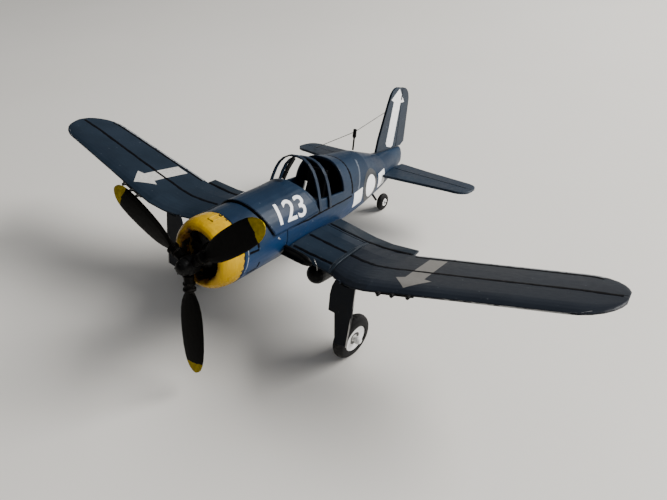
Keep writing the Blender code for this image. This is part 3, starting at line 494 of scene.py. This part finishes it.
def lay_on_skin(bm, flat, tree, ray, lift=COAT, sink=0.03):
    """Adds a flat shape to bm as a thin closed coat that follows the skin. Cells off the skin are dropped."""
    cut_into_cells(flat)
    for vertex in list(flat.verts):
        if not touch(tree, ray, vertex.co.x, vertex.co.y):
            flat.verts.remove(vertex)
    upper, lower = {}, {}
    for vertex in flat.verts:
        if vertex.link_faces:
            spot, out = touch(tree, ray, vertex.co.x, vertex.co.y)
            upper[vertex] = bm.verts.new(spot + out * lift)
            lower[vertex] = bm.verts.new(spot - out * sink)
    for face in flat.faces:
        bm.faces.new([upper[v] for v in face.verts])
        bm.faces.new([lower[v] for v in reversed(face.verts)])
    for edge in flat.edges:
        if edge.is_boundary:
            near, far = edge.verts
            bm.faces.new((upper[near], lower[near], lower[far], upper[far]))
    flat.free()


def steps_along(path, step):
    """Evenly spaced points of a 2-D path, each with the direction across it."""
    path = [Vector(point) for point in path]
    for near, far in zip(path, path[1:]):
        run = far - near
        count = max(1, round(run.length / step))
        across = Vector((-run.y, run.x)).normalized()
        for i in range(count):
            yield near + run * (i / count), across
    yield path[-1], across


def add_tube(bm, rings):
    """Skins a row of closed rings with the same number of points, ends included."""
    rows = [[bm.verts.new(point) for point in ring] for ring in rings]
    for near, far in zip(rows, rows[1:]):
        for i in range(len(near)):
            j = (i + 1) % len(near)
            bm.faces.new((near[i], near[j], far[j], far[i]))
    bm.faces.new(rows[0])
    bm.faces.new(rows[-1])


def add_seam(bm, tree, ray, path, width=SEAM_WIDTH, rise=SEAM_RISE, step=1.2):
    """A line of thick paint along a path on the skin, slightly uneven, as a brush leaves it."""
    rings = []
    for spot, across in steps_along(path, step):
        half = across * width * 0.5 * SHAKE.uniform(0.82, 1.12)
        spot = spot + across * SHAKE.uniform(-0.06, 0.06)
        left, right = touch(tree, ray, *(spot - half)), touch(tree, ray, *(spot + half))
        if not left or not right or (left[0] - right[0]).length > width * SEAM_STRETCH:
            continue
        out = left[1]
        lows = [left[0] - out * SEAM_FOOT, (left[0] + right[0]) * 0.5 - out * SEAM_KEEL,
                right[0] - out * SEAM_FOOT]
        tops = [right[0].lerp(left[0], t) + out * rise * h for t, h in SEAM_PROFILE]
        rings.append(lows + tops)
    if len(rings) > 1:
        add_tube(bm, rings)


def add_wire(bm, points, radius, sides=8):
    """A round wire through points, in airframe millimetres."""
    points = [Vector(point) for point in points]
    rings = []
    for i, point in enumerate(points):
        run = (points[min(i + 1, len(points) - 1)] - points[max(i - 1, 0)]).normalized()
        helper = Vector((0.0, 0.0, 1.0)) if abs(run.z) < 0.9 else Vector((0.0, 1.0, 0.0))
        side = run.cross(helper).normalized()
        up = side.cross(run)
        turns = [math.tau * k / sides for k in range(sides)]
        rings.append([point + (side * math.cos(a) + up * math.sin(a)) * radius for a in turns])
    add_tube(bm, rings)


def curved(start, middle, end, steps=12):
    """Points of a smooth bend from start to end that is drawn towards middle."""
    start, middle, end = Vector(start), Vector(middle), Vector(end)
    return [start.lerp(middle, t).lerp(middle.lerp(end, t), t) for t in (i / steps for i in range(steps + 1))]


# --- marks on the airframe ----------------------------------------------------------------------
NUMBER_START_Y = 32.4       # the number's nearest edge to the nose
NUMBER_LENGTH = 14.4
NUMBER_LOW = 5.6            # arc length above the horizontal
NUMBER_HEIGHT = 7.6
NUMBER_LEAN = 0.12
NUMBER_WEIGHT = 0.012

ARROW_TAIL_Y = 56.2
ARROW_NECK_Y = 37.9
ARROW_BARB_Y = 36.9
ARROW_TIP_Y = 30.2
ARROW_HALF_SHAFT = 3.15
ARROW_HALF_BARB = 6.0
ARROW_X = {"left": 62.4, "right": -64.2}

FIN_ARROW = ((130.6, 46.9), (124.0, 42.2), (126.6, 41.1), (124.2, 21.7), (125.4, 20.2), (129.6, 19.2),
             (131.2, 19.9), (133.2, 40.2), (136.8, 40.4))
ROUNDEL_CENTRE = (96.2, 9.4)
ROUNDEL_RADIUS = 7.4
ROUNDEL_DISC = 4.9
BAR_LENGTH = 7.6
BAR_HALF_HEIGHT = 3.3
BAR_CENTRES = ((84.3, 7.0), (109.0, 9.7))
BAR_SLOPE = 0.11


def number_shape(text):
    """The digits as one flat shape, NUMBER_LENGTH long and NUMBER_HEIGHT high."""
    curve = bpy.data.curves.new("number_shape", "FONT")
    curve.body = text
    curve.offset = NUMBER_WEIGHT
    digits = bpy.data.objects.new("number_shape", curve)
    bpy.context.scene.collection.objects.link(digits)
    graph = bpy.context.evaluated_depsgraph_get()
    mesh = bpy.data.meshes.new_from_object(digits.evaluated_get(graph))
    flat = bmesh.new()
    flat.from_mesh(mesh)
    bpy.data.objects.remove(digits)
    bpy.data.meshes.remove(mesh)
    bmesh.ops.remove_doubles(flat, verts=flat.verts, dist=0.0001)
    low = Vector([min(v.co[i] for v in flat.verts) for i in range(2)])
    high = Vector([max(v.co[i] for v in flat.verts) for i in range(2)])
    for vertex in flat.verts:
        u = (vertex.co.x - low.x) / (high.x - low.x) * NUMBER_LENGTH
        v = (vertex.co.y - low.y) / (high.y - low.y) * NUMBER_HEIGHT
        vertex.co = (u + v * NUMBER_LEAN, v, 0.0)
    return flat


def add_numbers():
    tree = skin("top_panel", "fuselage_shell", "cowling")
    for side, sign in SIDES:
        start = NUMBER_START_Y if sign > 0 else NUMBER_START_Y + NUMBER_LENGTH
        flat = number_shape(NUMBER)
        for vertex in flat.verts:
            vertex.co = (start + sign * vertex.co.x, NUMBER_LOW + vertex.co.y, 0.0)
        bm = bmesh.new()
        lay_on_skin(bm, flat, tree, from_round(sign))
        add_piece(f"fuselage_number_{side}", bm, MARK_WHITE)


def add_wing_arrows():
    # The port (left) arrow gets the darker copy as painted shade, the starboard (right) arrow the lighter
    # copy as painted light.
    for side, paint in (("left", ARROW_PAINTED_SHADE), ("right", ARROW_PAINTED_LIGHT)):
        tree = skin(f"wing_outer_front_{side}", f"wing_outer_rear_{side}")
        x = ARROW_X[side]
        half = [(ARROW_HALF_SHAFT, ARROW_TAIL_Y), (ARROW_HALF_SHAFT, ARROW_NECK_Y),
                (ARROW_HALF_BARB, ARROW_BARB_Y)]
        outline = [(x - u, v) for u, v in half] + [(x, ARROW_TIP_Y)] + [(x + u, v) for u, v in reversed(half)]
        bm = bmesh.new()
        lay_on_skin(bm, flat_outline(outline), tree, from_above)
        add_piece(f"wing_arrow_{side}", bm, paint)


def add_fin_arrows():
    tree = skin("fin", "rudder")
    for side, sign in SIDES:
        bm = bmesh.new()
        lay_on_skin(bm, flat_outline(FIN_ARROW), tree, from_side(sign))
        add_piece(f"fin_arrow_{side}", bm, MARK_WHITE)


def disc_outline(centre, radius, steps=40):
    turns = [math.tau * i / steps for i in range(steps)]
    return [(centre[0] + radius * math.cos(a), centre[1] + radius * math.sin(a)) for a in turns]


def bar_outline(centre):
    y, z = centre
    half = BAR_LENGTH * 0.5
    corners = ((-half, -BAR_HALF_HEIGHT), (half, -BAR_HALF_HEIGHT), (half, BAR_HALF_HEIGHT),
               (-half, BAR_HALF_HEIGHT))
    return [(y + u, z + v + u * BAR_SLOPE) for u, v in corners]


def add_roundels():
    """A plain ringed disc between two bars on each side of the rear fuselage."""
    tree = skin("fuselage_shell")
    for side, sign in SIDES:
        ring = bmesh.new()
        lay_on_skin(ring, flat_outline(disc_outline(ROUNDEL_CENTRE, ROUNDEL_RADIUS)), tree, from_side(sign))
        add_piece(f"roundel_ring_{side}", ring, MARK_DARK)
        bright = bmesh.new()
        lay_on_skin(bright, flat_outline(disc_outline(ROUNDEL_CENTRE, ROUNDEL_DISC)), tree, from_side(sign),
                    lift=COAT * 2)
        for centre in BAR_CENTRES:
            lay_on_skin(bright, flat_outline(bar_outline(centre)), tree, from_side(sign))
        add_piece(f"roundel_{side}", bright, MARK_WHITE)


# --- seams --------------------------------------------------------------------------------------
WING_ROOT_X = 12.6
FOLD_X = 31.4
OUTER_ROOT_X = 33.2
TIP_SEAM_X = 118.2
LEADING_SEAM_Y = 39.2
FLAP_END_X = 51.2
INNER_SEARCH_Y = 38.0       # where the searches for the rear sheets' and flaps' front edges start
OUTER_SEARCH_Y = 34.0
FLAP_SEARCH_Y = 52.0
TRAILING_X = (53.5, 112.0)
LIP_X = (54.0, 113.0)
TOP_PANEL_END_ARC = 3.6     # how far above the horizontal the top panel's lower edges lie
DECK_END_ARC = 6.6
COWL_JOINT_Y = 35.7         # the joint between the cowling and the fuselage
COWL_CORNERS = (((21.1, 6.6), (21.2, 3.6), (16.8, 3.6)), ((22.4, -1.6), (22.5, -4.6), (17.6, -4.8)))
SIDE_SEAM = ((33.8, 7.0), (48.5, 7.0), (54.0, 7.7), (62.0, 8.3), (71.0, 8.8), (78.4, 9.3))
DECK_SEAM_Y = 78.7
RUDDER_SEAM_Z = (17.0, 46.0)
RUDDER_SEARCH_Y = (120.0, 146.0)
ELEVATOR_SEAM_X = (6.0, 45.0)
ELEVATOR_SEARCH_Y = 104.0
RING_REAR_Y = 15.9          # the cowl ring's back edge at the shaft's height, and how it leans
RING_REAR_LEAN = 0.08
PANEL_CORNER = ((30.9, 5.0), (32.2, 4.0))
PALE_BAND_Y = (88.6, 83.6)  # from its upper end to its lower end
PALE_BAND_ARC = (16.5, 6.2)
LIP_RISE = 0.95


def spread(low, high, count):
    return [low + (high - low) * i / (count - 1) for i in range(count)]


def sheet_front(tree, sign, x, start_y):
    """Where the front edge of a wing sheet is at x, searching aft from start_y."""
    return first_hit(tree, lambda y: from_above(sign * x, y), start_y, start_y + 34.0)


def edge_path(tree, sign, xs, start_y, offset=0.0):
    found = [(x, sheet_front(tree, sign, x, start_y)) for x in xs]
    return [(sign * x, y + offset) for x, y in found if y is not None]


def add_wing_seams():
    """The black lines between the wing sheets, along the flap hinges and near the leading edge."""
    for side, sign in SIDES:
        inner_front, inner_rear = f"wing_inner_front_{side}", f"wing_inner_rear_{side}"
        outer_front, outer_rear = f"wing_outer_front_{side}", f"wing_outer_rear_{side}"
        flap, strip = f"flap_{side}", f"wing_fold_strip_{side}"
        inner, outer = skin(inner_front, inner_rear, flap), skin(outer_front, outer_rear, flap)
        bm = bmesh.new()
        inner_xs, outer_xs = spread(WING_ROOT_X, FOLD_X - 0.6, 6), spread(OUTER_ROOT_X, TIP_SEAM_X, 30)
        # The black lines along the joints between the front and rear wing sheets are dark joints and partly
        # painted shadow of the gap between the sheets.
        inner_edge = edge_path(skin(inner_rear), sign, inner_xs, INNER_SEARCH_Y, -0.2)
        add_seam(bm, inner, from_above, inner_edge)
        outer_edge = edge_path(skin(outer_rear), sign, outer_xs, OUTER_SEARCH_Y, -0.15)
        add_seam(bm, outer, from_above, outer_edge)
        hinge_xs = spread(WING_ROOT_X, FLAP_END_X, 24)
        whole = skin(inner_rear, outer_rear, flap, strip)
        hinge = edge_path(skin(flap), sign, hinge_xs, FLAP_SEARCH_Y, -0.1)
        add_seam(bm, whole, from_above, hinge, width=1.4)
        ahead = edge_path(skin(flap), sign, hinge_xs[:12], FLAP_SEARCH_Y, -1.9)
        add_seam(bm, whole, from_above, ahead, width=0.5)
        leading = [(sign * x, LEADING_SEAM_Y) for x in spread(13.6, 30.8, 6)]
        add_seam(bm, inner, from_above, leading, width=1.0)
        root = [(sign * 12.4, y) for y in spread(37.4, 62.0, 12)]
        add_seam(bm, inner, from_above, root, width=0.6)
        add_piece(f"wing_seams_{side}", bm, SEAM)
        add_trailing_lines(side, sign, outer)


def add_trailing_lines(side, sign, outer):
    """A black line just inside the outer trailing edge and the rubbed strip behind it."""
    rear = skin(f"wing_outer_rear_{side}")
    ends = []
    for x in spread(*TRAILING_X, 30):
        y = first_hit(rear, lambda v: from_above(sign * x, v), 66.0, 46.0)
        if y is not None:
            ends.append((sign * x, y))
    black, worn = bmesh.new(), bmesh.new()
    add_seam(black, outer, from_above, [(x, y - 1.5) for x, y in ends], width=1.2)
    add_piece(f"trailing_seam_{side}", black, SEAM)
    add_seam(worn, outer, from_above, [(x, y - 0.5) for x, y in ends], width=0.5, rise=0.05)
    add_piece(f"trailing_worn_{side}", worn, WEAR_AND_HIGHLIGHT_LINE)


def add_fuselage_seams():
    """The black joint lines of the cowling, the top panel and the rear deck."""
    body = skin("fuselage_shell", "top_panel", "cowling")
    panel = skin("top_panel")
    bm = bmesh.new()
    half_turn = math.pi * FUSELAGE_RADIUS
    front = []
    for arc in spread(TOP_PANEL_END_ARC, half_turn - TOP_PANEL_END_ARC, 40):
        y = first_hit(panel, lambda v: from_round(1)(v, arc), 20.0, 40.0)
        if y is not None:
            front.append((y - 0.15, arc))
    add_seam(bm, body, from_round(1), front, width=0.8, rise=0.15, step=1.0)
    deck = [(DECK_SEAM_Y, arc) for arc in spread(DECK_END_ARC, half_turn - DECK_END_ARC, 30)]
    add_seam(bm, body, from_round(1), deck, width=1.3)
    for _, sign in SIDES:
        add_seam(bm, body, from_side(sign), SIDE_SEAM, width=0.7, rise=0.06)
        add_seam(bm, body, from_side(sign), [(COWL_JOINT_Y, z) for z in spread(4.4, -7.6, 10)], width=0.7)
        for corner in COWL_CORNERS:
            add_seam(bm, body, from_side(sign), corner, width=0.9, rise=0.12)
    add_piece("fuselage_seams", bm, SEAM)


def add_lip_lines():
    """A painted highlight: the bright line along the lower lip of each outer wing's leading edge."""
    for side, sign in SIDES:
        front = skin(f"wing_outer_front_{side}")
        path = []
        for x in spread(*LIP_X, 30):
            z = first_hit(front, lambda v: from_ahead(sign * x, v), -6.0, 24.0)
            if z is not None:
                path.append((sign * x, z + LIP_RISE))
        bm = bmesh.new()
        add_seam(bm, front, from_ahead, path, width=0.45, rise=0.05)
        add_piece(f"wing_lip_{side}", bm, LIP_HIGHLIGHT)


def add_tail_seams():
    """Black lines at the hinges of the fin and the stabilizers."""
    bm = bmesh.new()
    tail = skin("fin", "rudder")
    rudder = skin("rudder")
    for _, sign in SIDES:
        hinge = []
        for z in spread(*RUDDER_SEAM_Z, 16):
            y = first_hit(rudder, lambda v: from_side(sign)(v, z), *RUDDER_SEARCH_Y)
            if y is not None:
                hinge.append((y - 0.12, z))
        add_seam(bm, tail, from_side(sign), hinge, width=0.5, rise=0.07)
    for side, sign in SIDES:
        tree, elevator = skin(f"stabilizer_{side}", f"elevator_{side}"), skin(f"elevator_{side}")
        path = edge_path(elevator, sign, spread(*ELEVATOR_SEAM_X, 18), ELEVATOR_SEARCH_Y, -0.12)
        add_seam(bm, tree, from_above, path, width=0.55, rise=0.08)
    add_piece("tail_seams", bm, SEAM)


def add_wear_and_highlight_lines():
    """Pale lines: a painted highlight along the raised rim behind the cowl ring, rubbed paint at the corners
    of the top panel, and pale bands on the rear deck.
    """
    body = skin("fuselage_shell", "top_panel", "cowling")
    bm = bmesh.new()
    for _, sign in SIDES:
        # A painted highlight along the raised rim of the cowling just behind the ring.
        behind_ring = [(RING_REAR_Y + RING_REAR_LEAN * z, z) for z in spread(5.2, -3.4, 9)]
        add_seam(bm, body, from_side(sign), behind_ring, width=0.35, rise=0.05)
        add_seam(bm, body, from_side(sign), PANEL_CORNER, width=0.6, rise=0.1, step=0.4)
    add_piece("wear_and_highlight_lines", bm, WEAR_AND_HIGHLIGHT_LINE)
    band = bmesh.new()
    for _, sign in SIDES:
        path = list(zip(spread(*PALE_BAND_Y, 14), spread(*PALE_BAND_ARC, 14)))
        add_seam(band, body, from_round(sign), path, width=1.0, rise=0.05)
    add_piece("rear_deck_bands", band, PALE_BAND)


# --- small solid details ------------------------------------------------------------------------
DIALS = ((-6.0, 17.0, 1.5), (-2.1, 18.6, 1.5), (2.1, 18.6, 1.5), (6.0, 17.0, 1.5),      # x, z, radius
         (0.0, 15.2, 1.1), (-4.0, 14.2, 1.1), (4.0, 14.2, 1.1))
BEHIND_PANEL_Y = 75.0       # where the rays to the back of the instrument panel start
RIDGE_X = (1.1, 3.0)
RIDGE_Y = (9.4, 14.2)
RIDGE_ENDS_Y = (9.6, 14.0)
RIDGE_LIFT = Vector((0.0, 0.0, 0.05))
HUB_BOLTS = 6
HUB_BOLT_CIRCLE = 1.9
HUB_BOLT_TURN = 0.2
HUB_BOLT_SIZE = (0.34, 0.22, 0.34)
SOLDER_SPOTS = ((34.6, 36.4, 1.0), (36.2, 33.6, 0.8), (45.0, 31.0, 0.8), (40.5, 31.6, 0.9))    # x, y, size
SOLDER_HEIGHT = 0.35
THIN_WIRE = 0.22
INTAKE_ARC = ((25.6, 35.2, -0.2), (28.4, 33.9, -1.6), (27.2, 35.4, -4.0))


def add_drop(bm, centre, size):
    """An uneven blob of solder or thick paint."""
    for vertex in bmesh.ops.create_icosphere(bm, subdivisions=2, radius=1.0)["verts"]:
        uneven = vertex.co * SHAKE.uniform(0.9, 1.08)
        vertex.co = Vector([c * s for c, s in zip(uneven, size)]) + Vector(centre)


def add_dials():
    """Round dials with pale needles on the back of the instrument panel."""
    panel = skin("instrument_panel")
    rims, needles = bmesh.new(), bmesh.new()
    for x, z, radius in DIALS:
        spot = panel.ray_cast(Vector((x, BEHIND_PANEL_Y, z)), Vector((0.0, -1.0, 0.0)))[0]
        if not spot:
            continue
        turns = [math.tau * k / 20 for k in range(21)]
        add_wire(rims, [(x + radius * math.cos(a), spot.y + 0.05, z + radius * math.sin(a)) for a in turns],
                 0.14, 6)
        lean = SHAKE.uniform(0.3, 2.6)
        tip = (x + radius * 0.75 * math.cos(lean), spot.y + 0.1, z + radius * 0.75 * math.sin(lean))
        add_wire(needles, [(x, spot.y + 0.1, z), tip], 0.09, 6)
    add_piece("dial_rims", rims, TIN)
    add_piece("dial_needles", needles, MARK_WHITE)


def add_cowl_details():
    """The solder ridge on top of the cowl ring."""
    ring = skin("cowl_ring")
    bm = bmesh.new()
    for x in RIDGE_X:
        line = []
        for y in spread(*RIDGE_Y, 8):
            spot = ring.ray_cast(*from_above(x, y))[0]
            if spot:
                line.append(spot + RIDGE_LIFT)
        add_wire(bm, line, 0.32)
    for y in RIDGE_ENDS_Y:
        ends = [ring.ray_cast(*from_above(x, y))[0] for x in RIDGE_X]
        add_wire(bm, [end + RIDGE_LIFT for end in ends], 0.28)
    add_piece("cowl_ring_ridge", bm, YELLOW_RING)


def add_hub_bolts():
    """A ring of bolt heads on the front of the propeller hub."""
    hub = skin("propeller_hub")
    bm = bmesh.new()
    for k in range(HUB_BOLTS):
        angle = math.tau * k / HUB_BOLTS + HUB_BOLT_TURN
        x, z = HUB_BOLT_CIRCLE * math.cos(angle), HUB_BOLT_CIRCLE * math.sin(angle)
        spot = hub.ray_cast(Vector((x, -20.0, z)), Vector((0.0, 1.0, 0.0)))[0]
        if spot:
            add_drop(bm, spot, HUB_BOLT_SIZE)
    add_piece("hub_bolts", bm, BLACK, body="propeller")


def add_solder():
    """Fillets of paint-covered solder where the legs and doors meet the underside of the outer wings."""
    bm = bmesh.new()
    for side, sign in SIDES:
        wing = skin(f"wing_outer_front_{side}", f"wing_outer_rear_{side}")
        for x, y, size in SOLDER_SPOTS:
            spot = wing.ray_cast(Vector((sign * x, y, -FAR)), Vector((0.0, 0.0, 1.0)))[0]
            if spot:
                add_drop(bm, spot, (size, size, SOLDER_HEIGHT))
    add_piece("gear_solder", bm, BLACK)


def add_leg_wires():
    """The thin bright wire along the outer edge of each gear door, and the one round each intake."""
    bm = bmesh.new()
    for side, sign in SIDES:
        low, high = door_edge(side, sign)
        add_wire(bm, [low, low.lerp(high, 0.5) + Vector((sign * 0.15, -0.1, 0.0)), high], THIN_WIRE)
    add_piece("gear_door_wires", bm, TIN)
    arcs = bmesh.new()
    for _, sign in SIDES:
        add_wire(arcs, curved(*[(sign * x, y, z) for x, y, z in INTAKE_ARC]), THIN_WIRE)
    add_piece("intake_wires", arcs, WORN_STEEL)


def door_edge(side, sign):
    """The lower and upper ends of a gear door's outer edge, a little in front of it."""
    spots = [TO_PLANE @ vertex.co for vertex in frame["nodes"][f"gear_door_{side}"].data.vertices]
    outer = max(sign * spot.x for spot in spots)
    edge = [spot for spot in spots if sign * spot.x > outer - 0.8]
    low, high = min(edge, key=lambda s: s.z), max(edge, key=lambda s: s.z)
    front = Vector((0.0, -0.1, 0.0))
    return low + front, high + front


# --- stage --------------------------------------------------------------------------------------
FLOOR_HALF = 2.2
KEY_PLACE = (0.98, 0.78, 0.9)
KEY_SIZE = (0.95, 0.75)
KEY_POWER = 50.0
KEY_COLOUR = (1.0, 0.985, 0.96)
KEY_AIM = (0.0, 0.0, 0.02)
ROOM_COLOUR = (0.93, 0.95, 1.0, 1.0)
ROOM_BRIGHT_SIDE = (0.75, 0.5, 0.45)
ROOM_TURN = (-0.7, 0.9)     # how far from the bright side the levels start and end, as a cosine
ROOM_LEVELS = (0.02, 0.45)


def add_floor():
    bm = bmesh.new()
    bmesh.ops.create_grid(bm, x_segments=24, y_segments=24, size=FLOOR_HALF)
    mesh = bpy.data.meshes.new("floor")
    bm.to_mesh(mesh)
    bm.free()
    mesh.materials.append(floor_white())
    floor = bpy.data.objects.new("floor", mesh)
    bpy.context.scene.collection.objects.link(floor)


def add_light(name, place, size, energy, colour):
    data = bpy.data.lights.new(name, "AREA")
    data.shape = "RECTANGLE"
    data.size, data.size_y = size
    data.energy = energy
    data.color = colour
    light = bpy.data.objects.new(name, data)
    light.location = place
    light.rotation_euler = (Vector(KEY_AIM) - Vector(place)).to_track_quat("-Z", "Y").to_euler()
    bpy.context.scene.collection.objects.link(light)


def add_lights():
    """One large soft window on the model's left, and a room that is brighter on that side."""
    add_light("key", KEY_PLACE, KEY_SIZE, KEY_POWER, KEY_COLOUR)
    world = bpy.data.worlds.new("soft_room")
    world.use_nodes = True
    tree = world.node_tree
    background = tree.nodes["Background"]
    background.inputs["Color"].default_value = ROOM_COLOUR
    direction = tree.nodes.new("ShaderNodeTexCoord").outputs["Generated"]
    facing = tree.nodes.new("ShaderNodeVectorMath")
    facing.operation = "DOT_PRODUCT"
    facing.inputs[1].default_value = Vector(ROOM_BRIGHT_SIDE).normalized()
    level = tree.nodes.new("ShaderNodeMapRange")
    for socket, value in zip(("From Min", "From Max", "To Min", "To Max"), (*ROOM_TURN, *ROOM_LEVELS)):
        level.inputs[socket].default_value = value
    tree.links.new(direction, facing.inputs[0])
    tree.links.new(facing.outputs["Value"], level.inputs["Value"])
    tree.links.new(level.outputs["Result"], background.inputs["Strength"])
    bpy.context.scene.world = world


def add_camera():
    level = Matrix.Rotation(CAMERA_AZIMUTH, 4, "Z") @ Matrix.Rotation(math.pi / 2 + CAMERA_ELEVATION, 4, "X")
    data = bpy.data.cameras.new("camera")
    data.sensor_width = 36.0
    data.lens = CAMERA_LENS
    data.clip_start = 0.005
    camera = bpy.data.objects.new("camera", data)
    camera.matrix_world = Matrix.Translation(CAMERA_PLACE) @ level @ Matrix.Rotation(CAMERA_ROLL, 4, "Z")
    bpy.context.scene.collection.objects.link(camera)
    bpy.context.scene.camera = camera


# --- the model ----------------------------------------------------------------------------------
paint_nodes()
add_numbers()
add_wing_arrows()
add_fin_arrows()
add_roundels()
add_wing_seams()
add_fuselage_seams()
add_tail_seams()
add_lip_lines()
add_wear_and_highlight_lines()
add_dials()
add_cowl_details()
add_hub_bolts()
add_solder()
add_leg_wires()
add_floor()
add_lights()
add_camera()
